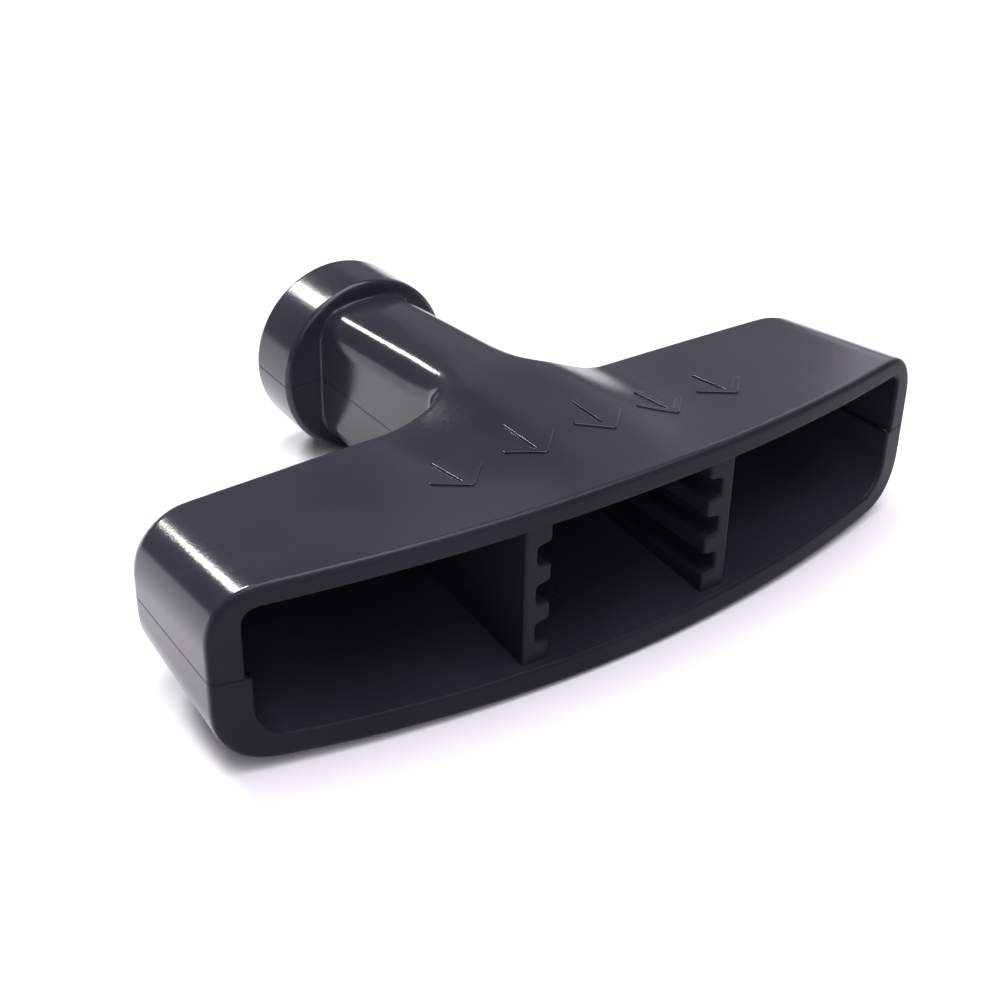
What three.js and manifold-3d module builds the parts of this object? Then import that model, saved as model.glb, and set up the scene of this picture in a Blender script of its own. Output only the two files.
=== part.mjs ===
// Pull handle (T-grip) of a small-engine recoil starter, in millimetres.
// X runs along the crossbar, +Y along the stem towards the engine, +Z up.
// Inside the design functions the parting plane is z = 0 and y = 0 is the crossbar's front corner line.
import * as THREE from "three";
import { mergeVertices } from "three/addons/utils/BufferGeometryUtils.js";
import Module from "manifold-3d";

const wasm = await Module();
wasm.setup();

// Driving dimensions -----------------------------------------------------------------------------

const bar = {
  frontHalf: 55,        // half the crossbar's length along its front rim
  rearHalf: 54.2,       // half its length along the rear edge
  depth: 22.8,          // from the front corner line back to the rear edge, at the ends
  frontBow: 8,          // how far the front rim bows towards the hand at the middle
  rearBow: 1.4,         // how far the rear face bows towards the stem at the middle
  frontHeight: 11.9,    // half the thickness at the front rim's ends
  frontCrown: 1.55,     // added half thickness in the middle of the front rim
  rearHeight: 9.4,      // half the thickness at the rear edge
  endRadius: 6.5,        // rounding of the four long corners, seen from the front
  cornerRadius: 3.5,    // rounding of the rear corners, seen from above
  frontEdge: 1.0,       // rounding of the rim's outer edge
  rearEdge: 1.0,        // rounding of the rear edge
};
const rearWall = 3.2;
const upperWall = { top: 2.9, end: 4.0, innerRadius: 2 };
const lowerWall = { top: 3.4, end: 4.8, innerRadius: 4.2 };
const stem = {
  halfWidth: 7.7,
  frontHeight: 13.6,    // half its height at the crossbar
  rearHeight: 10.9,     // half its height at the collar
  corner: 3.2,
  easing: 8,            // length over which the corners grow to their full radius
  fillet: 3.5,
  crown: 1.2,           // height of the upper face's middle over its edges
};
const spine = { flat: 4.5, reach: 20 };  // the crossbar's raised middle, where the stem's top runs on to it
const collar = { front: 56.6, length: 9.8, frontRadius: 13.6, rearRadius: 13.4, edge: 0.8 };
const rope = { radius: 3.5, mouthRadius: 5.2, mouthDepth: 2.5 };
const rib = {
  outer: 16.35,         // outer face of the web, from the middle
  web: 1.85,            // web thickness
  tooth: 2.1,           // how far the teeth stand into the middle chamber
  pitch: 5.6,           // from notch to notch
  rootGap: 2.5,         // notch width at its bottom
  mouthGap: 3.2,        // notch width between tooth tips
  setBack: 1.3,         // front edge behind the rim
  tab: 0.9,             // how far the web reaches into the shell's groove
};
const gap = 0.3;        // between pieces that touch
const peg = { radius: 1.1, height: 2, offset: 5.6, places: [34, 50] };
const pin = { radius: 1.0 };
const mark = {
  count: 5,
  spacing: 10.6,
  centreX: 3.4,
  centreY: 6.8,
  length: 9,
  stroke: 0.95,
  head: 3.3,
  relief: 0.35,         // height above the surface
  root: 1.5,            // depth of their foot inside the upper wall
};

const wallFacets = 64;
const cornerSteps = 8;
const middleColumns = 44;
const edgeSteps = 3;
const middleStations = [0.2, 0.4, 0.6];
const planSteps = 4;
const stemCornerSteps = 4;
const stemColumns = 12;
const filletSteps = 6;

const halfThickness = Math.max(bar.frontHeight + bar.frontCrown, stem.frontHeight, collar.frontRadius);
const rearmost = collar.front + collar.length;

// Helpers ----------------------------------------------------------------------------------------

const mix = THREE.MathUtils.lerp;
const smooth = THREE.MathUtils.smoothstep;

/** Turns a closed three.js geometry into a manifold solid. */
function solid(geometry) {
  const bare = geometry.clone();
  bare.deleteAttribute("normal");
  bare.deleteAttribute("uv");
  const welded = mergeVertices(bare, 1e-5);
  const triangles = new Uint32Array(welded.index.array);
  const mesh = new wasm.Mesh({
    numProp: 3,
    vertProperties: new Float32Array(welded.attributes.position.array),
    triVerts: triangles,
  });
  return new wasm.Manifold(mesh);
}

/** Turns a manifold solid back into a three.js geometry. */
function geometryOf(body) {
  const mesh = body.getMesh();
  const geometry = new THREE.BufferGeometry();
  geometry.setAttribute("position", new THREE.BufferAttribute(new Float32Array(mesh.vertProperties), 3));
  geometry.setIndex(new THREE.BufferAttribute(new Uint32Array(mesh.triVerts), 1));
  geometry.computeVertexNormals();
  return geometry;
}

function union(bodies) {
  return bodies.reduce((whole, body) => whole.add(body));
}

function box(low, high) {
  const size = high.map((value, axis) => value - low[axis]);
  const geometry = new THREE.BoxGeometry(size[0], size[1], size[2]);
  geometry.translate(low[0] + size[0] / 2, low[1] + size[1] / 2, low[2] + size[2] / 2);
  return solid(geometry);
}

/** A turned body about the Y axis from a list of [radius, y] points that starts and ends on the axis. */
function turned(profile, facets) {
  const points = profile.map(([radius, y]) => new THREE.Vector2(radius, y));
  return solid(new THREE.LatheGeometry(points, facets));
}

/**
 * A closed solid through a row of rings, front to back. Each ring is a list of columns
 * {x, y, z}: the upper point at +z and its mirror image at -z.
 */
function loft(rings) {
  const columns = rings[0].length;
  const ringSize = 2 * columns;
  const positions = [];
  for (const ring of rings) {
    for (const point of ring) {
      positions.push(point.x, point.y, point.z);
    }
    for (const point of [...ring].reverse()) {
      positions.push(point.x, point.y, -point.z);
    }
  }
  const index = [];
  for (let row = 0; row + 1 < rings.length; row += 1) {
    for (let i = 0; i < ringSize; i += 1) {
      const a = row * ringSize + i;
      const b = row * ringSize + ((i + 1) % ringSize);
      index.push(a, b, b + ringSize, a, b + ringSize, a + ringSize);
    }
  }
  const last = (rings.length - 1) * ringSize;
  for (let i = 0; i + 1 < columns; i += 1) {
    const below = ringSize - 1 - i;
    index.push(below, below - 1, i + 1, below, i + 1, i);
    index.push(last + below, last + i + 1, last + below - 1, last + below, last + i, last + i + 1);
  }
  const geometry = new THREE.BufferGeometry();
  geometry.setAttribute("position", new THREE.Float32BufferAttribute(positions, 3));
  geometry.setIndex(index);
  return solid(geometry);
}

// The crossbar's form ----------------------------------------------------------------------------

/** The crossbar's front line in plan: an arc through both corners that bows out by frontBow. */
function frontLine(x) {
  const radius = (bar.frontHalf ** 2 + bar.frontBow ** 2) / (2 * bar.frontBow);
  return radius - bar.frontBow - Math.sqrt(radius ** 2 - x ** 2);
}

function crown(x) {
  return Math.max(0, 1 - (x / bar.frontHalf) ** 2);
}

function rearLine(x) {
  return bar.depth + bar.rearBow * crown(x);
}

/** Half the crossbar's thickness at x, from t = 0 at the front rim to t = 1 at the rear edge. */
function topHeight(x, t) {
  const front = bar.frontHeight + bar.frontCrown * crown(x);
  const onSpine = 1 - smooth(Math.abs(x), spine.flat, spine.reach);
  const rear = mix(bar.rearHeight, stem.frontHeight, onSpine);
  return mix(front, rear, t);
}

/** One ring of the crossbar's form, drawn in by inset on every side and by endInset more at the ends. */
function barRing(t, { inset = 0, endInset = 0, cornerRadius = bar.endRadius, lift = 0 }) {
  const half = mix(bar.frontHalf, bar.rearHalf, t) - inset - endInset;
  const ring = [];
  const addColumn = (x, drop) => {
    const y = mix(frontLine(x), rearLine(x), t) + lift;
    ring.push({ x, y, z: topHeight(x, t) - inset - drop });
  };
  for (let i = 0; i <= cornerSteps; i += 1) {
    const angle = (i / cornerSteps) * (Math.PI / 2);
    addColumn(-half + cornerRadius * (1 - Math.cos(angle)), cornerRadius * (1 - Math.sin(angle)));
  }
  const inner = half - cornerRadius;
  for (let i = 1; i < middleColumns; i += 1) {
    addColumn(mix(-inner, inner, i / middleColumns), 0);
  }
  for (let i = cornerSteps; i >= 0; i -= 1) {
    const angle = (i / cornerSteps) * (Math.PI / 2);
    addColumn(half - cornerRadius * (1 - Math.cos(angle)), cornerRadius * (1 - Math.sin(angle)));
  }
  return ring;
}

/** How far the ends are drawn in by the rounded rear corners, at a distance in front of the rear edge. */
function cornerInset(distance) {
  const run = Math.max(0, bar.cornerRadius - distance);
  return bar.cornerRadius - Math.sqrt(bar.cornerRadius ** 2 - run ** 2);
}

/** The crossbar as a solid block with its rounded rim and rear edge, grown outwards by grow. */
function crossbar(grow = 0) {
  const rings = [];
  for (let i = 0; i <= edgeSteps; i += 1) {
    const angle = (i / edgeSteps) * (Math.PI / 2);
    const inset = bar.frontEdge * (1 - Math.sin(angle)) - grow;
    rings.push(barRing(0, { inset, lift: bar.frontEdge * (1 - Math.cos(angle)) - grow }));
  }
  for (const t of middleStations) {
    rings.push(barRing(t, { inset: -grow }));
  }
  for (let i = 0; i < planSteps; i += 1) {
    const distance = mix(bar.cornerRadius, bar.rearEdge, i / planSteps);
    rings.push(barRing(1 - distance / bar.depth, { inset: -grow, endInset: cornerInset(distance) }));
  }
  for (let i = 0; i <= edgeSteps; i += 1) {
    const angle = (i / edgeSteps) * (Math.PI / 2);
    const distance = bar.rearEdge * (1 - Math.sin(angle));
    const inset = bar.rearEdge * (1 - Math.cos(angle)) - grow;
    rings.push(barRing(1, { inset, endInset: cornerInset(distance), lift: grow - distance }));
  }
  return loft(rings);
}

const above = box([-70, -30, 0], [70, 90, 30]);
const below = box([-70, -30, -30], [70, 90, 0]);

/** The room that a shell's walls leave inside the crossbar, with the walls pushed out by grow. */
function room(wall, grow) {
  const ring = (t, lift) => barRing(t, {
    inset: wall.top - grow,
    endInset: wall.end - wall.top,
    cornerRadius: wall.innerRadius,
    lift,
  });
  const past = 4;
  const rings = [0, ...middleStations, 0.8, 1].map((t) => ring(t, t * (grow - rearWall)));
  return loft([ring(0, -past), ...rings]);
}

/** The chamber inside the crossbar, open to the front: the upper shell's walls are the thinner ones. */
function chamber(grow = 0) {
  return union([room(upperWall, grow).intersect(above), room(lowerWall, grow).intersect(below)]);
}

/** One ring of the stem: a rounded rectangle across Y that flares out to meet the crossbar's rear. */
function stemRing(y) {
  const t = THREE.MathUtils.clamp((y - bar.depth) / (collar.front - bar.depth), 0, 1);
  const height = mix(stem.frontHeight, stem.rearHeight, t);
  const along = THREE.MathUtils.clamp(stem.fillet - (y - rearLine(0)), 0, stem.fillet);
  const flare = stem.fillet - Math.sqrt(stem.fillet ** 2 - along ** 2);
  const half = stem.halfWidth + flare;
  const corner = mix(bar.rearEdge, stem.corner, smooth(y, bar.depth - 4, bar.depth + stem.easing - 5));
  const crowning = stem.crown * smooth(y, bar.depth + 1, bar.depth + stem.easing + 1);
  const ring = [];
  const addColumn = (x, drop) => {
    const sag = crowning * Math.min(1, Math.abs(x) / stem.halfWidth) ** 2;
    ring.push({ x, y, z: Math.min(height, topHeight(x, 1)) - sag - drop });
  };
  for (let i = 0; i <= stemCornerSteps; i += 1) {
    const angle = (i / stemCornerSteps) * (Math.PI / 2);
    addColumn(-half + corner * (1 - Math.cos(angle)), corner * (1 - Math.sin(angle)));
  }
  const inner = half - corner;
  for (let i = 1; i < stemColumns; i += 1) {
    addColumn(mix(-inner, inner, i / stemColumns), 0);
  }
  for (let i = stemCornerSteps; i >= 0; i -= 1) {
    const angle = (i / stemCornerSteps) * (Math.PI / 2);
    addColumn(half - corner * (1 - Math.cos(angle)), corner * (1 - Math.sin(angle)));
  }
  return ring;
}

function stemBlock() {
  const rings = [stemRing(rearLine(0) - rearWall / 2)];
  for (let i = 0; i <= filletSteps; i += 1) {
    const angle = (i / filletSteps) * (Math.PI / 2);
    rings.push(stemRing(rearLine(0) + stem.fillet * (1 - Math.cos(angle))));
  }
  for (const y of [bar.depth + stem.easing, collar.front, collar.front + collar.length / 2]) {
    rings.push(stemRing(y));
  }
  return loft(rings);
}

function collarDisc() {
  const { front, length, frontRadius, rearRadius, edge } = collar;
  const rear = front + length;
  const profile = [[0, front], [frontRadius - edge, front]];
  for (let i = 1; i <= edgeSteps; i += 1) {
    const angle = (i / edgeSteps) * (Math.PI / 2);
    profile.push([frontRadius - edge * (1 - Math.sin(angle)), front + edge * (1 - Math.cos(angle))]);
  }
  for (let i = 0; i < edgeSteps; i += 1) {
    const angle = (i / edgeSteps) * (Math.PI / 2);
    profile.push([rearRadius - edge * (1 - Math.cos(angle)), rear - edge * (1 - Math.sin(angle))]);
  }
  profile.push([rearRadius - edge, rear], [0, rear]);
  return turned(profile, wallFacets);
}

/** The rope's way: a straight hole with a flared mouth at the collar's end face. */
function ropeWay() {
  const start = bar.depth - rearWall - 6;
  const end = rearmost + 1;
  const profile = [[0, start], [rope.radius, start], [rope.radius, rearmost - rope.mouthDepth]];
  const steps = 5;
  for (let i = 1; i <= steps; i += 1) {
    const angle = (i / steps) * (Math.PI / 2);
    profile.push([
      rope.radius + (rope.mouthRadius - rope.radius) * (1 - Math.cos(angle)),
      rearmost - rope.mouthDepth * (1 - Math.sin(angle)),
    ]);
  }
  profile.push([rope.mouthRadius, end], [0, end]);
  return turned(profile, 32);
}

// The toothed ribs -------------------------------------------------------------------------------

/** The right-hand rib's section across Y: a web with teeth towards the middle. */
function ribSection(reach) {
  const inner = rib.outer - rib.web;
  const tip = inner - rib.tooth;
  const shape = new THREE.Shape();
  shape.moveTo(rib.outer, -reach);
  shape.lineTo(rib.outer, reach);
  shape.lineTo(tip, reach);
  for (const notch of [1, 0, -1]) {
    const z = notch * rib.pitch;
    shape.lineTo(tip, z + rib.mouthGap / 2);
    shape.lineTo(inner, z + rib.rootGap / 2);
    shape.lineTo(inner, z - rib.rootGap / 2);
    shape.lineTo(tip, z - rib.mouthGap / 2);
  }
  shape.lineTo(tip, -reach);
  shape.closePath();
  return shape;
}

/** Extrudes a shape drawn in X and Z along +Y, from y = start to y = end. */
function alongY(shape, start, end) {
  const geometry = new THREE.ExtrudeGeometry(shape, { depth: end - start, bevelEnabled: false });
  geometry.rotateX(Math.PI / 2);
  geometry.translate(0, end, 0);
  return solid(geometry);
}

function sideRib() {
  const front = frontLine(rib.outer) + rib.setBack;
  const reach = 20;
  const teeth = alongY(ribSection(reach), front, bar.depth + 10).intersect(chamber(-gap));
  const slab = box([rib.outer - rib.web, front, -reach], [rib.outer, bar.depth + 10, reach]);
  const web = slab.intersect(chamber(rib.tab)).subtract(rearClearance());
  return union([teeth, web]);
}

/** Everything behind the ribs' rear edges. */
function rearClearance() {
  const rear = bar.depth - rearWall - gap;
  return box([-60, rear, -20], [60, rear + 30, 20]);
}

function ribGroove() {
  const front = frontLine(rib.outer) + rib.setBack - gap;
  const slab = box([rib.outer - rib.web - gap, front, -20], [rib.outer + gap, bar.depth - rearWall, 20]);
  return slab.intersect(chamber(rib.tab + gap));
}

function mirrorX(body) {
  return body.mirror([1, 0, 0]);
}

// The shells -------------------------------------------------------------------------------------

/** A pull-direction arrow, drawn in X and Y with its point towards -Y. */
function arrowShape(x, y) {
  const shape = new THREE.Shape();
  const half = mark.stroke / 2;
  const tip = y - mark.length / 2;
  const side = mark.stroke * Math.SQRT1_2;
  shape.moveTo(x, tip);
  shape.lineTo(x + mark.head + side / 2, tip + mark.head + side / 2);
  shape.lineTo(x + mark.head - side / 2, tip + mark.head + side * 1.5);
  shape.lineTo(x + half, tip + half + 2 * side);
  shape.lineTo(x + half, y + mark.length / 2);
  shape.lineTo(x - half, y + mark.length / 2);
  shape.lineTo(x - half, tip + half + 2 * side);
  shape.lineTo(x - mark.head + side / 2, tip + mark.head + side * 1.5);
  shape.lineTo(x - mark.head - side / 2, tip + mark.head + side / 2);
  shape.closePath();
  return shape;
}

/** The row of raised arrows that follows the crossbar's upper face. */
function pullMarks() {
  const arrows = [];
  for (let i = 0; i < mark.count; i += 1) {
    const x = mark.centreX + (i - (mark.count - 1) / 2) * mark.spacing;
    const y = mark.centreY + 0.5 * frontLine(x) - 0.5 * frontLine(0);
    const t = (y - frontLine(x)) / (rearLine(x) - frontLine(x));
    const geometry = new THREE.ExtrudeGeometry(arrowShape(x, y), { depth: 8, bevelEnabled: false });
    geometry.translate(0, 0, topHeight(x, t) - mark.root);
    arrows.push(solid(geometry).intersect(crossbar(mark.relief)));
  }
  return arrows;
}

function pegAt(x, y, radius, low, high) {
  const geometry = new THREE.CylinderGeometry(radius, radius, high - low, 20);
  geometry.rotateX(Math.PI / 2);
  geometry.translate(x, y, (low + high) / 2);
  return solid(geometry);
}

function pegPlaces() {
  return peg.places.flatMap((y) => [[-peg.offset, y], [peg.offset, y]]);
}

const grip = union([crossbar(), stemBlock(), collarDisc()])
  .subtract(chamber())
  .subtract(ropeWay())
  .subtract(ribGroove())
  .subtract(mirrorX(ribGroove()));

function upperShell() {
  const sockets = pegPlaces().map(([x, y]) => pegAt(x, y, peg.radius + gap, -1, peg.height + gap));
  return union([grip, ...pullMarks()]).intersect(above).subtract(union(sockets));
}

function lowerShell() {
  const pegs = pegPlaces().map(([x, y]) => pegAt(x, y, peg.radius, -3, peg.height));
  return union([grip.intersect(below), ...pegs]);
}

// The rope pin -----------------------------------------------------------------------------------

/** A steel cross pin with chamfered ends, lying in the ribs' middle notches against the rear wall. */
function ropePin() {
  const half = rib.outer - rib.web - gap;
  const chamfer = 0.3;
  const profile = [
    [0, -half],
    [pin.radius - chamfer, -half],
    [pin.radius, -half + chamfer],
    [pin.radius, half - chamfer],
    [pin.radius - chamfer, half],
    [0, half],
  ];
  const points = profile.map(([radius, y]) => new THREE.Vector2(radius, y));
  const geometry = new THREE.LatheGeometry(points, 24);
  geometry.rotateZ(-Math.PI / 2);
  geometry.translate(0, bar.depth - rearWall - gap - pin.radius, 0);
  return solid(geometry);
}

// Assembly ---------------------------------------------------------------------------------------

const blackPlastic = new THREE.MeshStandardMaterial({ color: 0x2a2a2f, roughness: 0.42, metalness: 0 });
const ribPlastic = new THREE.MeshStandardMaterial({ color: 0x1f1f23, roughness: 0.5, metalness: 0 });
const steel = new THREE.MeshStandardMaterial({ color: 0x8d9094, roughness: 0.3, metalness: 1 });

const handle = new THREE.Group();

function addPiece(name, body, material) {
  const mesh = new THREE.Mesh(geometryOf(body), material);
  mesh.name = name;
  handle.add(mesh);
}

addPiece("upper_shell", upperShell(), blackPlastic);
addPiece("lower_shell", lowerShell(), blackPlastic);
addPiece("right_toothed_rib", sideRib(), ribPlastic);
addPiece("left_toothed_rib", mirrorX(sideRib()), ribPlastic);
addPiece("rope_pin", ropePin(), steel);

handle.position.set(0, (bar.frontBow - rearmost) / 2, halfThickness);

export default handle;
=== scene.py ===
"""Looks of a recoil starter's pull handle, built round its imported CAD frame.

The shapes are worked out in millimetres in the handle's own axes: X along the crossbar, Y along the stem
from the line through the front rim's two corners, Z from the parting plane. to_row() moves them into the row
frame, in metres. Each moulding is a distance field, negative inside, whose zero surface is meshed.
"""
import math

import bmesh
import bpy
import numpy as np
from mathutils import Matrix, Vector


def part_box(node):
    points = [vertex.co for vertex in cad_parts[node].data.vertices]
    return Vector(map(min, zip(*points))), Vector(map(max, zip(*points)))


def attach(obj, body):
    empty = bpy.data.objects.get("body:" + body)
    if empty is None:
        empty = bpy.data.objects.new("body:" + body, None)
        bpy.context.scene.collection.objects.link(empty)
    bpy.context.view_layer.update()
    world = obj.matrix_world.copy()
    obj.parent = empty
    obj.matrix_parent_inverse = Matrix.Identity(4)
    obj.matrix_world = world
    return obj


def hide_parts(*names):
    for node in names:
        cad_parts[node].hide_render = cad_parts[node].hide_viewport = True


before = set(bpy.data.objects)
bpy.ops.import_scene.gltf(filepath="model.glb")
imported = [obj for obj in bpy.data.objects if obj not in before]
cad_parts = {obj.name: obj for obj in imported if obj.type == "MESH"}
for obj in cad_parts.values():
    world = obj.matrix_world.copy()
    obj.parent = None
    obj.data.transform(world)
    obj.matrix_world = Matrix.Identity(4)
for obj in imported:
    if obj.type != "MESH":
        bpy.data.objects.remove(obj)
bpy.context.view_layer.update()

MM = 0.001

# ---------------------------------------------------------------- sizes, in millimetres

SHELL_LOW, SHELL_HIGH = (Vector(corner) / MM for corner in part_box("upper_shell"))
BAR_HALF = (SHELL_HIGH.x - SHELL_LOW.x) / 2        # half the crossbar's length at its front rim
FRONT_BOW = 8.0                                    # the front rim's bow towards the hand
BOW_REACH = 1.2                                    # the bow's circle is followed this many BAR_HALF out
ORIGIN = Vector(((SHELL_LOW.x + SHELL_HIGH.x) / 2, SHELL_LOW.y + FRONT_BOW, SHELL_LOW.z))
REARMOST = SHELL_HIGH.y - ORIGIN.y                 # the collar's end face

REAR_HALF = BAR_HALF - 0.8                         # half the crossbar's length at its rear edge
DEPTH = 22.8                                       # the crossbar's depth at its ends
REAR_BOW = 1.4
FRONT_HEIGHT, FRONT_CROWN = 11.9, 1.55             # from the parting plane, at the ends; more in the middle
REAR_HEIGHT = 9.4
END_RADIUS = 7.9                                   # the long edges at the crossbar's ends
RIM_RADIUS = 0.9                                   # the front rim's outer edge
REAR_EDGE, END_EDGE, STEM_EDGE = 1.4, 3.0, 3.2     # radii of the upper and lower edges
END_EDGE_REACH, END_EDGE_FULL = 9, 1               # distances from the ends where END_EDGE starts and is full
STEM_HALF, STEM_HIGH, STEM_LOW, STEM_FILLET = 7.7, 13.6, 10.9, 4.5
STEM_CROWN = 1.2                                   # the stem's upper face, middle over edges
CROWN_START, CROWN_FULL = -2, 12                   # where that crown starts and is full, from DEPTH
STEM_EDGE_START, STEM_EDGE_FULL = -4, 3            # where STEM_EDGE starts and is full, from DEPTH
STEM_EDGE_NEAR, STEM_EDGE_FAR = 10, 20             # and how far to the sides it reaches
SPINE_FLAT, SPINE_REACH = 3.0, 20.0                # the raised middle that runs on to the stem
REAR_EASING = 0.2                                  # the upper face's bend at the rear edge: share of depth
STEM_EASING = 5                                    # and its bend where the stem starts to fall
COLLAR_LENGTH = 9.8
COLLAR_FRONT = REARMOST - COLLAR_LENGTH
COLLAR_FRONT_RADIUS, COLLAR_REAR_RADIUS, COLLAR_EDGE = 13.6, 13.4, 0.8
COLLAR_FILLET = 0.3
ROPE_RADIUS, MOUTH_RADIUS, MOUTH_DEPTH = 3.5, 5.2, 2.5
HOLE_LEAD = 4                                      # how far the rope hole's cut starts inside the chamber
REAR_WALL, INNER_REAR_RADIUS = 3.2, 1.2
UPPER_WALLS = {"top": 2.9, "end": 4.0, "corner": 2.0}
LOWER_WALLS = {"top": 3.4, "end": 4.8, "corner": 4.2}
INNER_RIM_RADIUS, HOLE_RIM_RADIUS = 0.45, 0.3

RIB_OUTER, RIB_WEB, TOOTH = 16.35, 1.85, 2.1       # from the middle; web thickness; tooth height
NOTCH_PITCH, NOTCH_ROOT, NOTCH_MOUTH = 5.6, 2.5, 3.2
RIB_SET_BACK, RIB_TAB = 1.3, 0.9
RIB_EDGE, TOOTH_EDGE, TOOTH_FOOT, TOOTH_GAP = 0.3, 0.35, 0.2, 0.05
RIB_WALLS = {"top": 3.0, "end": 5.0, "corner": 2.0}
PIN_RADIUS, PIN_SIDES = 1.0, 64
PIN_END = (                                        # radius, and distance from the pin's end
    (0.0, 0), (0.62, 0), (0.7, 0.03), (0.97, 0.27), (PIN_RADIUS, 0.34),
)
GAP = 0.3                                          # play behind the ribs and the pin, and at the pin's ends

ARROW_COUNT, ARROW_SPACING = 5, 10.6
ARROW_CENTRE = (3.4, 6.8)
ARROW_LENGTH, ARROW_STROKE, ARROW_HEAD, ARROW_RELIEF = 9.0, 0.95, 3.3, 0.25
ARROW_EDGE, ARROW_SUNK = 0.12, 0.3                 # the strokes' edge radius, and their depth in the shell
ARROW_TIP_INSET = 0.7

CELL, RIB_CELL, ARROW_CELL = 0.45, 0.3, 0.15       # mesh spacings
GRID_BELOW, GRID_TOP = 2.03, 15.5                  # the shells' grid, from the parting plane down and up
RIB_GRID_TOP = 13.5
ARROW_GRID_SIDE, ARROW_GRID_TOP = 4.5, 2.2
GRID_MARGIN = 1                                    # how far a grid reaches past its piece elsewhere


def to_row(points):
    """Handle millimetres to row-frame metres."""
    return (np.asarray(points, float) + np.array(ORIGIN)) * MM


# ---------------------------------------------------------------- distance fields (negative inside)

def smoothstep(value, low, high):
    t = np.clip((value - low) / (high - low), 0, 1)
    return t * t * t * (t * (6 * t - 15) + 10)


def ramp(value, width):
    """value where it is above zero and 0 below, its corner rounded over width on either side."""
    return np.where(np.abs(value) < width, (value + width) ** 2 / (4 * width), np.maximum(value, 0))


def both(a, b, radius):
    """Inside a and b, with their shared edge rounded to radius."""
    corner = np.sqrt(np.maximum(a + radius, 0) ** 2 + np.maximum(b + radius, 0) ** 2)
    return np.minimum(np.maximum(a, b), -radius) + corner


def both_eased(a, b, radius, power=2.5):
    """Inside a and b, with their shared edge rounded by a superellipse that eases into both faces."""
    corner = (np.maximum(a + radius, 0) ** power + np.maximum(b + radius, 0) ** power) ** (1 / power)
    return np.minimum(np.maximum(a, b), -radius) + corner


def either(a, b, radius):
    """Inside a or b, with their shared corner filled to a fillet of radius."""
    hollow = np.sqrt(np.maximum(radius - a, 0) ** 2 + np.maximum(radius - b, 0) ** 2)
    return np.maximum(np.minimum(a, b), radius) - hollow


def bow_radius():
    return (BAR_HALF ** 2 + FRONT_BOW ** 2) / (2 * FRONT_BOW)


def crown(x):
    return np.maximum(0, 1 - (x / BAR_HALF) ** 2)


def front_line(x):
    radius = bow_radius()
    return radius - FRONT_BOW - np.sqrt(radius ** 2 - np.minimum(np.abs(x), BAR_HALF * BOW_REACH) ** 2)


def rear_line(x):
    return DEPTH + REAR_BOW * crown(x)


def depth_ratio(x, y):
    """0 at the front rim and 1 at the rear edge, going on past both."""
    return (y - front_line(x)) / (rear_line(x) - front_line(x))


def top_height(x, y):
    """Height of the upper face over the crossbar and the stem."""
    t = 1 - ramp(1 - np.maximum(depth_ratio(x, y), 0), REAR_EASING)
    front = FRONT_HEIGHT + FRONT_CROWN * crown(x)
    on_spine = 1 - smoothstep(np.abs(x), SPINE_FLAT, SPINE_REACH)
    rear = REAR_HEIGHT + (STEM_HIGH - REAR_HEIGHT) * on_spine
    along_stem = np.minimum(ramp(y - DEPTH, STEM_EASING) / (COLLAR_FRONT - DEPTH), 1)
    crown_share = smoothstep(y, DEPTH + CROWN_START, DEPTH + CROWN_FULL)
    crowned = STEM_CROWN * crown_share * np.minimum(np.abs(x) / STEM_HALF, 1) ** 2
    return front + (rear - front) * t - (STEM_HIGH - STEM_LOW) * along_stem - crowned


def bar_half(x, y):
    return BAR_HALF + (REAR_HALF - BAR_HALF) * np.clip(depth_ratio(x, y), 0, 1)


def outer_body(x, y, z):
    """The crossbar, the stem and the collar, without their hollows."""
    top = np.abs(z) - top_height(x, y)
    end = np.abs(x) - bar_half(x, y)
    front = front_line(x) - y
    plan = either(y - rear_line(x), np.abs(x) - STEM_HALF, STEM_FILLET)
    on_end = smoothstep(end, -END_EDGE_REACH, -END_EDGE_FULL)
    on_stem = smoothstep(y, DEPTH + STEM_EDGE_START, DEPTH + STEM_EDGE_FULL)
    on_stem = on_stem * (1 - smoothstep(np.abs(x), STEM_EDGE_NEAR, STEM_EDGE_FAR))
    edge = REAR_EDGE + (STEM_EDGE - REAR_EDGE) * on_stem + (END_EDGE - REAR_EDGE) * on_end
    grip = both(both(both_eased(top, end, END_RADIUS), plan, edge), front, RIM_RADIUS)
    grip = np.maximum(grip, y - COLLAR_FRONT - COLLAR_LENGTH / 2)
    along = np.clip((y - COLLAR_FRONT) / COLLAR_LENGTH, 0, 1)
    radius = COLLAR_FRONT_RADIUS + (COLLAR_REAR_RADIUS - COLLAR_FRONT_RADIUS) * along
    side = np.hypot(x, z) - radius
    collar = both(both(side, COLLAR_FRONT - y, COLLAR_EDGE), y - REARMOST, COLLAR_EDGE)
    return either(grip, collar, COLLAR_FILLET)


def hollow(x, y, z, walls):
    """The chamber inside the crossbar."""
    top = np.abs(z) - (top_height(x, y) - walls["top"])
    end = np.abs(x) - (bar_half(x, y) - walls["end"])
    rear = y - (rear_line(x) - REAR_WALL)
    return both(both(top, end, walls["corner"]), rear, INNER_REAR_RADIUS)


def rope_way(x, y, z):
    """The rope's hole along the stem, flared at the collar's end face."""
    into_mouth = np.clip((y - (REARMOST - MOUTH_DEPTH)) / MOUTH_DEPTH, 0, 1)
    radius = ROPE_RADIUS + (MOUTH_RADIUS - ROPE_RADIUS) * (1 - np.sqrt(1 - into_mouth ** 2))
    return np.maximum(np.hypot(x, z) - radius, DEPTH - REAR_WALL - HOLE_LEAD - y)


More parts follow.
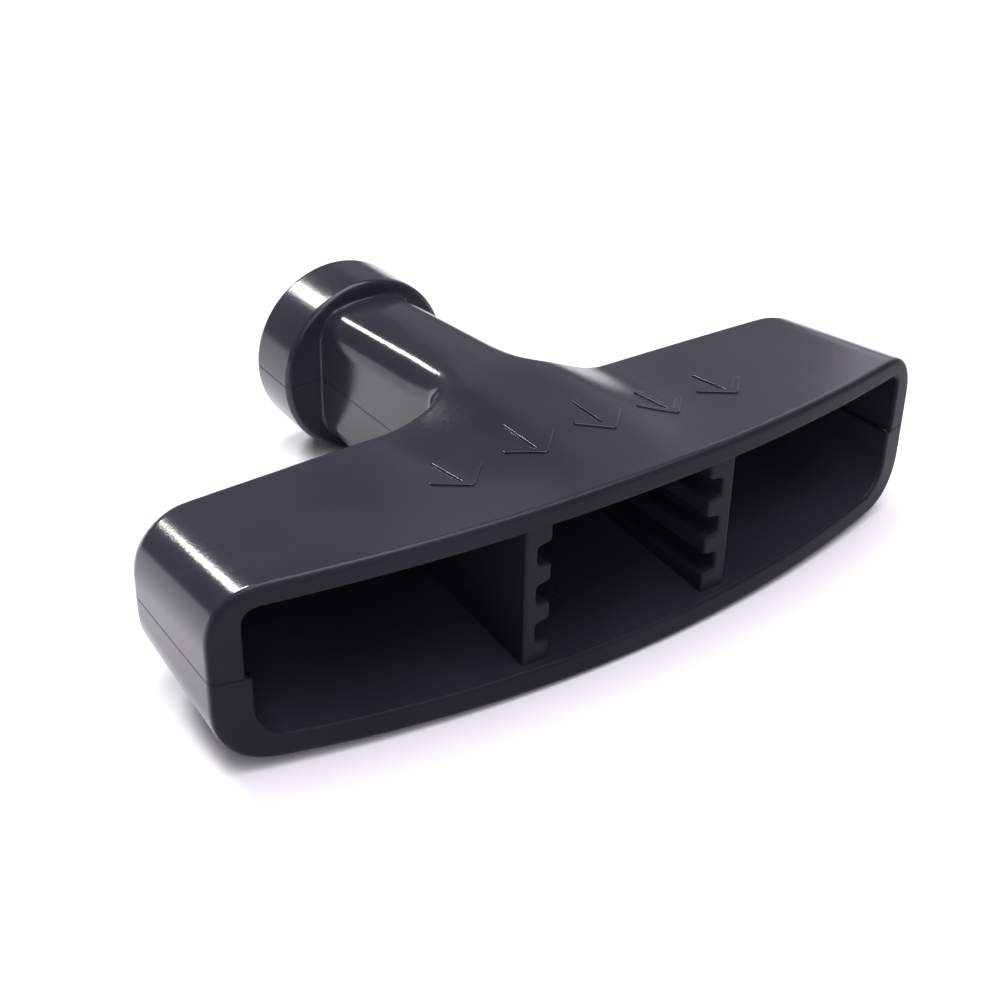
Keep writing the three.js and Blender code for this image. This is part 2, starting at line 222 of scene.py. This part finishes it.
def shell_field(walls):
    """The handle with its chamber and rope hole cut out; half_shell() keeps the half above z = 0."""
    def field(x, y, z):
        body = both(outer_body(x, y, z), -hollow(x, y, z, walls), INNER_RIM_RADIUS)
        return both(body, -rope_way(x, y, z), HOLE_RIM_RADIUS)
    return field


def rib_field(x, y, z):
    """The right-hand rib: a web whose edges run into the shells' walls, with teeth towards the middle."""
    room = hollow(x, y, z, RIB_WALLS)
    start = front_line(RIB_OUTER) + RIB_SET_BACK - y
    inner = RIB_OUTER - RIB_WEB
    web = both(np.abs(x - RIB_OUTER + RIB_WEB / 2) - RIB_WEB / 2, room - RIB_TAB, RIB_EDGE)
    web = np.maximum(web, y - (DEPTH - REAR_WALL - GAP))
    from_notch = np.abs(z - NOTCH_PITCH * np.clip(np.round(z / NOTCH_PITCH), -1, 1))
    half_notch = NOTCH_ROOT / 2 + (NOTCH_MOUTH - NOTCH_ROOT) / 2 * np.clip((inner - x) / TOOTH, 0, 1)
    tip = (inner - TOOTH) - x
    tooth = both(both(tip, half_notch - from_notch, TOOTH_EDGE), room + TOOTH_GAP, TOOTH_FOOT)
    tooth = np.maximum(tooth, x - RIB_OUTER + RIB_WEB / 2)
    return both(either(web, tooth, RIB_EDGE), start, TOOTH_EDGE)


def left_rib_field(x, y, z):
    return rib_field(-x, y, z)


def stroke_field(x, y, start, end):
    """Distance from the straight line between two points in plan."""
    along = (end[0] - start[0], end[1] - start[1])
    length = math.hypot(*along)
    share = np.clip(((x - start[0]) * along[0] + (y - start[1]) * along[1]) / length ** 2, 0, 1)
    return np.hypot(x - start[0] - share * along[0], y - start[1] - share * along[1])


def arrow_field(centre):
    """A raised arrow on the upper face, pointing the way the handle is pulled."""
    tip = (centre[0], centre[1] - ARROW_LENGTH / 2 + ARROW_TIP_INSET)
    tail = (centre[0], centre[1] + ARROW_LENGTH / 2 - ARROW_STROKE / 2)
    barbs = [(centre[0] + side * ARROW_HEAD, tip[1] + ARROW_HEAD) for side in (-1, 1)]

    def field(x, y, z):
        line = stroke_field(x, y, tip, tail)
        for barb in barbs:
            line = np.minimum(line, stroke_field(x, y, tip, barb))
        above = z - top_height(x, y)
        face = both(line - ARROW_STROKE / 2, above - ARROW_RELIEF, ARROW_EDGE)
        return np.maximum(face, -ARROW_SUNK - above)
    return field


# ---------------------------------------------------------------- from a field to a mesh

def gradient(field, points, step=0.02):
    """The field's slope at each point."""
    result = np.empty_like(points)
    for axis in range(3):
        shift = np.zeros(3)
        shift[axis] = step
        ahead = field(*(points + shift).T)
        behind = field(*(points - shift).T)
        result[:, axis] = (ahead - behind) / (2 * step)
    return result


def settle(field, points, rounds=3):
    """Moves points along the field's slope on to its zero surface."""
    for _ in range(rounds):
        slope = gradient(field, points)
        steep = np.maximum((slope ** 2).sum(1), 1e-6)
        points = points - slope * (field(*points.T) / steep)[:, None]
    return points


def net(field, low, high, cell):
    """Points and quads of the field's zero surface: one point in each grid cell that it crosses."""
    axes = [np.arange(a, b + cell, cell) for a, b in zip(low, high)]
    value = field(*np.meshgrid(*axes, indexing="ij"))
    inside = value < 0
    shape = np.array(value.shape) - 1
    count = np.zeros(shape, int)
    for dx in (0, 1):
        for dy in (0, 1):
            for dz in (0, 1):
                count += inside[dx:shape[0] + dx, dy:shape[1] + dy, dz:shape[2] + dz]
    crossed = (count > 0) & (count < 8)
    ids = np.full(shape, -1)
    ids[crossed] = np.arange(crossed.sum())
    total = np.zeros((crossed.sum(), 3))
    hits = np.zeros(crossed.sum())
    quads = []
    for axis in range(3):
        here = [slice(None)] * 3
        there = [slice(None)] * 3
        here[axis], there[axis] = slice(None, -1), slice(1, None)
        start, stop = inside[tuple(here)], inside[tuple(there)]
        edges = np.argwhere(start != stop)
        first = value[tuple(here)][tuple(edges.T)]
        second = value[tuple(there)][tuple(edges.T)]
        place = edges.astype(float)
        place[:, axis] += first / (first - second)
        b, c = [k for k in range(3) if k != axis]
        around = []
        for db, dc in ((-1, -1), (0, -1), (0, 0), (-1, 0)):
            cells = edges.copy()
            cells[:, b] += db
            cells[:, c] += dc
            valid = ((cells >= 0) & (cells < shape)).all(1)
            found = np.full(len(cells), -1)
            found[valid] = ids[tuple(cells[valid].T)]
            around.append(found)
            known = found >= 0
            np.add.at(total, found[known], place[known])
            np.add.at(hits, found[known], 1)
        quad = np.stack(around, 1)
        leaving = start[tuple(edges.T)]
        flip = leaving if axis == 1 else ~leaving
        quad[flip] = quad[flip][:, ::-1]
        quads.append(quad[(quad >= 0).all(1)])
    points = np.array(low) + total / hits[:, None] * cell
    return points, np.concatenate(quads)


def relax(field, points, quads, rounds=8):
    """Evens the points out along the surface, keeping them on it."""
    ends = np.concatenate([quads[:, [k, (k + 1) % 4]] for k in range(4)])
    ends = np.concatenate([ends, ends[:, ::-1]])
    degree = np.bincount(ends[:, 0], minlength=len(points))[:, None]
    for _ in range(rounds):
        mean = np.zeros_like(points)
        np.add.at(mean, ends[:, 0], points[ends[:, 1]])
        mean /= np.maximum(degree, 1)
        normal = gradient(field, points)
        normal /= np.maximum(np.linalg.norm(normal, axis=1, keepdims=True), 1e-9)
        pull = (mean - points) * 0.5
        pull -= normal * (pull * normal).sum(1, keepdims=True)
        points = settle(field, points + pull, 1)
    return settle(field, points)


def new_object(name, mesh, material, body="grip"):
    """A visible piece that rides on body and wears the given material."""
    piece = bpy.data.objects.new(name, mesh)
    bpy.context.scene.collection.objects.link(piece)
    mesh.materials.append(material)
    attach(piece, body)
    return piece


def smooth_mesh(name, field, bm):
    """A mesh in the row frame from bm, whose points are handle millimetres, shaded by the field's slope."""
    mesh = bpy.data.meshes.new(name)
    bm.to_mesh(mesh)
    bm.free()
    count = len(mesh.vertices)
    points = np.empty(count * 3)
    mesh.vertices.foreach_get("co", points)
    points = points.reshape(-1, 3)
    normals = gradient(field, points)
    normals /= np.maximum(np.linalg.norm(normals, axis=1, keepdims=True), 1e-9)
    mesh.vertices.foreach_set("co", to_row(points).ravel())
    mesh.polygons.foreach_set("use_smooth", [True] * len(mesh.polygons))
    mesh.update()
    mesh.normals_split_custom_set_from_vertices(normals.tolist())
    return mesh


def bmesh_of(points, quads):
    bm = bmesh.new()
    verts = [bm.verts.new(point) for point in points]
    for quad in quads:
        bm.faces.new([verts[k] for k in quad])
    bm.normal_update()
    return bm


# ---------------------------------------------------------------- materials

def node_tools(name):
    """A new material, its tree and shader, and add(), which makes a node and links or sets its inputs."""
    material = bpy.data.materials.new(name)
    material.use_nodes = True
    tree = material.node_tree
    shader = tree.nodes["Principled BSDF"]

    def add(kind, inputs=None, **settings):
        node = tree.nodes.new(kind)
        for key, value in settings.items():
            setattr(node, key, value)
        for key, value in (inputs or {}).items():
            if isinstance(value, bpy.types.NodeSocket):
                tree.links.new(value, node.inputs[key])
            else:
                node.inputs[key].default_value = value
        return node

    return material, tree, shader, add


CLOUD, MOTTLE, SPECK = 45.0, 1100.0, 3200.0              # noise scales, per metre
SPECK_RELIEF, GRAIN = 0.00002, 0.5                       # metres, and how much of it shows
ROUGH_SPREAD = 0.03                                      # the roughness goes up and down by this
RIM_ROUGHNESS, RIM_SHINE, RIM_PAINTED_SHADE = 0.42, 0.08, 0.65   # rim painted shade: the rim's colour over the other faces'
RIM_INNER, RIM_OUTER = 0.75, 0.2                         # where the rim's dull finish and painted shade start and are full, mm


def moulded_plastic(name, dark, light, rough, shine, dull_rim_with_painted_shade=False):
    """Black moulded plastic: a faint cloud in colour and gloss, fine mould grain and sparse hairline scuffs.

    The last argument turns the front rim, the outer millimetre of the bow, duller than the other faces and
    darkens its colour as painted shade.
    """
    material, tree, shader, add = node_tools(name)
    place = add("ShaderNodeTexCoord").outputs["Object"]
    cloud = add("ShaderNodeTexNoise", {"Vector": place, "Scale": CLOUD, "Detail": 2.0})
    tone = add("ShaderNodeValToRGB", {"Fac": cloud.outputs["Fac"]})
    tone.color_ramp.elements[0].position, tone.color_ramp.elements[1].position = 0.3, 0.75
    tone.color_ramp.elements[0].color = (*dark, 1)
    tone.color_ramp.elements[1].color = (*light, 1)
    fine = add("ShaderNodeTexNoise", {"Vector": place, "Scale": MOTTLE, "Detail": 2.0})
    sheen = add("ShaderNodeMath", {0: cloud.outputs["Fac"], 1: fine.outputs["Fac"]}, operation="ADD")
    gloss = add("ShaderNodeMapRange", {
        "Value": sheen.outputs["Value"], "From Min": 0.7, "From Max": 1.3,
        "To Min": rough - ROUGH_SPREAD, "To Max": rough + ROUGH_SPREAD,
    })
    streaks = add("ShaderNodeMapping", {"Vector": place, "Scale": (60.0, 1500.0, 500.0)})
    streaks.inputs["Rotation"].default_value = (0.0, 0.0, 0.6)
    scratch = add("ShaderNodeTexNoise", {"Vector": streaks.outputs["Vector"], "Scale": 1.0, "Detail": 1.0})
    hair = add("ShaderNodeMapRange", {
        "Value": scratch.outputs["Fac"], "From Min": 0.72, "From Max": 0.78, "To Min": 0.0, "To Max": 1.0,
    })
    speck = add("ShaderNodeTexNoise", {"Vector": place, "Scale": SPECK, "Detail": 1.0})
    height = add("ShaderNodeMath", {0: hair.outputs["Result"], 1: -0.5}, operation="MULTIPLY")
    relief = add("ShaderNodeMath", {0: speck.outputs["Fac"], 1: height.outputs["Value"]}, operation="ADD")
    bump = add("ShaderNodeBump", {
        "Height": relief.outputs["Value"], "Strength": GRAIN, "Distance": SPECK_RELIEF,
    })
    roughness = gloss.outputs["Result"]
    colour = tone.outputs["Color"]
    shader.inputs["Specular IOR Level"].default_value = shine
    if dull_rim_with_painted_shade:
        flat = add("ShaderNodeVectorMath", {0: place, 1: (1.0, 1.0, 0.0)}, operation="MULTIPLY")
        axis = to_row((0.0, bow_radius() - FRONT_BOW, 0.0)) * (1, 1, 0)
        from_axis = add("ShaderNodeVectorMath", {0: flat.outputs["Vector"], 1: axis}, operation="DISTANCE")
        rim = add("ShaderNodeMapRange", {
            "Value": from_axis.outputs["Value"], "From Min": (bow_radius() - RIM_INNER) * MM,
            "From Max": (bow_radius() - RIM_OUTER) * MM,
        })
        rim.interpolation_type = "SMOOTHSTEP"
        on_rim = rim.outputs["Result"]
        dull = add("ShaderNodeMath", {0: on_rim, 1: RIM_ROUGHNESS - rough}, operation="MULTIPLY")
        roughness = add("ShaderNodeMath", {0: roughness, 1: dull.outputs["Value"]}).outputs["Value"]
        level = add("ShaderNodeMapRange", {"Value": on_rim, "To Min": shine, "To Max": RIM_SHINE})
        tree.links.new(level.outputs["Result"], shader.inputs["Specular IOR Level"])
        # Painted shade: the rim's base colour is scaled darker here, standing in for shade on the
        # front-facing rim.
        rim_painted_shade = add("ShaderNodeMapRange", {"Value": on_rim, "To Min": 1.0, "To Max": RIM_PAINTED_SHADE})
        colour = add("ShaderNodeVectorMath", {0: colour, "Scale": rim_painted_shade.outputs["Result"]}, operation="SCALE")
        colour = colour.outputs["Vector"]
    tree.links.new(colour, shader.inputs["Base Color"])
    tree.links.new(roughness, shader.inputs["Roughness"])
    tree.links.new(bump.outputs["Normal"], shader.inputs["Normal"])
    shader.inputs["IOR"].default_value = 1.45
    return material


def drawn_steel(name):
    """Drawn steel wire, with fine lines along X in colour and gloss."""
    material, tree, shader, add = node_tools(name)
    place = add("ShaderNodeTexCoord").outputs["Object"]
    lines = add("ShaderNodeMapping", {"Vector": place, "Scale": (40.0, 4000.0, 4000.0)})
    drawn = add("ShaderNodeTexNoise", {"Vector": lines.outputs["Vector"], "Scale": 1.0, "Detail": 3.0})
    tone = add("ShaderNodeValToRGB", {"Fac": drawn.outputs["Fac"]})
    tone.color_ramp.elements[0].color = (0.38, 0.38, 0.4, 1)
    tone.color_ramp.elements[1].color = (0.62, 0.62, 0.64, 1)
    gloss = add("ShaderNodeMapRange", {"Value": drawn.outputs["Fac"], "To Min": 0.22, "To Max": 0.42})
    tree.links.new(tone.outputs["Color"], shader.inputs["Base Color"])
    tree.links.new(gloss.outputs["Result"], shader.inputs["Roughness"])
    shader.inputs["Metallic"].default_value = 1.0
    return material


SHELL_PLASTIC = moulded_plastic(
    "shell plastic", dark=(0.017, 0.016, 0.0222), light=(0.027, 0.0254, 0.0352),
    rough=0.165, shine=0.45, dull_rim_with_painted_shade=True,
)
# Painted shade: the ribs' colour is darker than the shell's, standing in for the shade inside the chamber
# where they sit.
SHADED_RIB_PLASTIC = moulded_plastic(
    "rib plastic", dark=(0.012, 0.0113, 0.0158), light=(0.018, 0.017, 0.0236),
    rough=0.34, shine=0.08,
)
PIN_STEEL = drawn_steel("pin steel")

# ---------------------------------------------------------------- the two shells

SEAM_HALF = 0.03        # half the gap between the shells
SEAM_BEVEL = 0.10       # the seam's bevelled lip


def half_shell(field):
    """Half of the handle, cut at the parting plane with a lip that leaves a fine seam groove."""
    low = (-BAR_HALF - GRID_MARGIN, -FRONT_BOW - GRID_MARGIN, -GRID_BELOW)
    high = (BAR_HALF + GRID_MARGIN, REARMOST + GRID_MARGIN, GRID_TOP)
    points, quads = net(field, low, high, CELL)
    points = relax(field, points, quads)
    bm = bmesh_of(points, quads)
    for level, clear in ((SEAM_HALF + SEAM_BEVEL, False), (SEAM_HALF, True)):
        everything = bm.verts[:] + bm.edges[:] + bm.faces[:]
        bmesh.ops.bisect_plane(
            bm, geom=everything, dist=1e-5, plane_co=(0, 0, level), plane_no=(0, 0, 1), clear_inner=clear,
        )
    rim = [edge for edge in bm.edges if edge.is_boundary]
    lip = list({vert for edge in rim for vert in edge.verts})
    inward = gradient(field, np.array([vert.co[:] for vert in lip]))
    for vert, slope in zip(lip, inward):
        flat = Vector((slope[0], slope[1], 0)).normalized()
        vert.co -= flat * SEAM_BEVEL
    bmesh.ops.triangle_fill(bm, edges=rim, use_beauty=True)
    bmesh.ops.recalc_face_normals(bm, faces=bm.faces[:])
    return bm


def mirror(bm, axis):
    """Turns bm into its mirror image across the plane at right angles to axis."""
    scale = [1, 1, 1]
    scale[axis] = -1
    bmesh.ops.scale(bm, vec=scale, verts=bm.verts[:])
    bmesh.ops.reverse_faces(bm, faces=bm.faces[:])


def make_shells():
    for name, walls, node in (
        ("upper_shell_moulding", UPPER_WALLS, "upper_shell"),
        ("lower_shell_moulding", LOWER_WALLS, "lower_shell"),
    ):
        field = shell_field(walls)
        bm = half_shell(field)
        if node == "lower_shell":
            mirror(bm, 2)
        piece = new_object(name, smooth_mesh(name, field, bm), SHELL_PLASTIC)
        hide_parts(node)


def make_arrows():
    for i in range(ARROW_COUNT):
        x = ARROW_CENTRE[0] + (i - (ARROW_COUNT - 1) / 2) * ARROW_SPACING
        y = ARROW_CENTRE[1] + (front_line(x) - front_line(0)) / 2
        field = arrow_field((x, y))
        level = float(top_height(x, y))
        low = (x - ARROW_GRID_SIDE, y - ARROW_LENGTH / 2 - GRID_MARGIN, level - ARROW_GRID_TOP)
        high = (x + ARROW_GRID_SIDE, y + ARROW_LENGTH / 2 + GRID_MARGIN, level + ARROW_GRID_TOP)
        points, quads = net(field, low, high, ARROW_CELL)
        points = relax(field, points, quads, 4)
        name = f"pull_arrow_{i + 1}"
        new_object(name, smooth_mesh(name, field, bmesh_of(points, quads)), SHELL_PLASTIC)


def make_ribs():
    low = (RIB_OUTER - RIB_WEB - TOOTH - GRID_MARGIN, -FRONT_BOW - GRID_MARGIN, -RIB_GRID_TOP)
    high = (RIB_OUTER + GRID_MARGIN, DEPTH, RIB_GRID_TOP)
    points, quads = net(rib_field, low, high, RIB_CELL)
    points = relax(rib_field, points, quads, 6)
    for side in ("right", "left"):
        name = side + "_rib_moulding"
        bm = bmesh_of(points, quads)
        field = rib_field
        if side == "left":
            mirror(bm, 0)
            field = left_rib_field
        piece = new_object(name, smooth_mesh(name, field, bm), SHADED_RIB_PLASTIC)
        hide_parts(side + "_toothed_rib")


def make_pin():
    """The steel cross pin: a turned rod with small chamfers, whose own edges are eased."""
    half = RIB_OUTER - RIB_WEB - GAP
    profile = [(radius, half - inset) for radius, inset in PIN_END]
    profile += [(radius, -x) for radius, x in reversed(profile)]
    bm = bmesh.new()
    loops = []
    for radius, x in profile:
        steps = [2 * math.pi * k / PIN_SIDES for k in range(PIN_SIDES)] if radius else []
        ring = [bm.verts.new((x, radius * math.cos(angle), radius * math.sin(angle))) for angle in steps]
        loops.append(ring or [bm.verts.new((x, 0, 0))])
    for first, second in zip(loops, loops[1:]):
        for k in range(PIN_SIDES):
            corners = [first[k % len(first)], first[(k + 1) % len(first)],
                       second[(k + 1) % len(second)], second[k % len(second)]]
            bm.faces.new(list(dict.fromkeys(corners)))
    bmesh.ops.recalc_face_normals(bm, faces=bm.faces[:])
    mesh = bpy.data.meshes.new("rope_pin_rod")
    place = Vector((0, DEPTH - REAR_WALL - GAP - PIN_RADIUS, 0))
    for vert in bm.verts:
        vert.co = to_row(vert.co + place)
    bm.to_mesh(mesh)
    bm.free()
    mesh.polygons.foreach_set("use_smooth", [True] * len(mesh.polygons))
    mesh.set_sharp_from_angle(angle=math.radians(25))
    piece = new_object("rope_pin_rod", mesh, PIN_STEEL, "rope_pin")
    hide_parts("rope_pin")


make_shells()
make_arrows()
make_ribs()
make_pin()

# ---------------------------------------------------------------- camera, light and floor

VIEW_AZIMUTH, VIEW_ELEVATION, VIEW_ROLL = -35.98, 31.65, 1.305   # degrees
VIEW_DISTANCE = 2.087 * 2 * BAR_HALF                             # millimetres
VIEW_AIM = (-1.36, 20.0, -4.38)
VIEW_LENS, SENSOR = 60.85, 36.0
LAMP_AIM = (0, 20, 0)
FLOOR_HALF = 1.5                                                 # metres


def direction(azimuth, elevation):
    """The unit vector from the object towards a viewer or lamp; azimuth 0 looks along +Y."""
    a, e = math.radians(azimuth), math.radians(elevation)
    return Vector((math.sin(a) * math.cos(e), -math.cos(a) * math.cos(e), math.sin(e)))


def make_camera():
    data = bpy.data.cameras.new("camera")
    data.lens, data.sensor_width = VIEW_LENS, SENSOR
    data.clip_start, data.clip_end = 0.01, 20.0
    camera = bpy.data.objects.new("camera", data)
    bpy.context.scene.collection.objects.link(camera)
    back = direction(VIEW_AZIMUTH, VIEW_ELEVATION)
    aim = Vector(to_row(VIEW_AIM))
    turn = (-back).to_track_quat("-Z", "Y").to_matrix() @ Matrix.Rotation(math.radians(VIEW_ROLL), 3, "Z")
    camera.matrix_world = Matrix.LocRotScale(aim + back * VIEW_DISTANCE * MM, turn, None)
    bpy.context.scene.camera = camera


def area_light(name, azimuth, elevation, distance, size, power, colour=(1, 1, 1)):
    data = bpy.data.lights.new(name, "AREA")
    data.shape = "RECTANGLE"
    data.size, data.size_y = size
    data.energy, data.color = power, colour
    lamp = bpy.data.objects.new(name, data)
    bpy.context.scene.collection.objects.link(lamp)
    towards = direction(azimuth, elevation)
    lamp.location = Vector(to_row(LAMP_AIM)) + towards * distance
    lamp.rotation_mode = "QUATERNION"
    lamp.rotation_quaternion = (-towards).to_track_quat("-Z", "Y")


def make_studio():
    world = bpy.data.worlds.new("studio")
    world.use_nodes = True
    world.node_tree.nodes["Background"].inputs["Color"].default_value = (0.93, 0.9, 1.0, 1)
    world.node_tree.nodes["Background"].inputs["Strength"].default_value = 0.15
    bpy.context.scene.world = world
    bpy.context.scene.view_settings.view_transform = "Standard"
    tint = (0.95, 0.92, 1.0)
    area_light("lamp behind", -170, 38, 0.7, (0.08, 0.26), 4.1)
    area_light("soft box behind", 130, 22, 0.9, (0.7, 0.42), 0.18, tint)
    area_light("soft box behind right", 112, 22, 0.8, (0.55, 0.5), 0.75, tint)
    area_light("front fill", -20, 36, 0.8, (0.6, 0.6), 2.2, tint)
    area_light("overhead soft box", 20, 84, 1.5, (1.5, 1.5), 34.0, tint)
    corners = [(-FLOOR_HALF, -FLOOR_HALF, 0), (FLOOR_HALF, -FLOOR_HALF, 0),
               (FLOOR_HALF, FLOOR_HALF, 0), (-FLOOR_HALF, FLOOR_HALF, 0)]
    mesh = bpy.data.meshes.new("floor")
    mesh.from_pydata(corners, [], [(0, 1, 2, 3)])
    floor = bpy.data.objects.new("floor", mesh)
    bpy.context.scene.collection.objects.link(floor)
    material, _, shader, _ = node_tools("pale floor")
    shader.inputs["Base Color"].default_value = (0.86, 0.86, 0.86, 1)
    shader.inputs["Roughness"].default_value = 0.6
    mesh.materials.append(material)


make_camera()
make_studio()
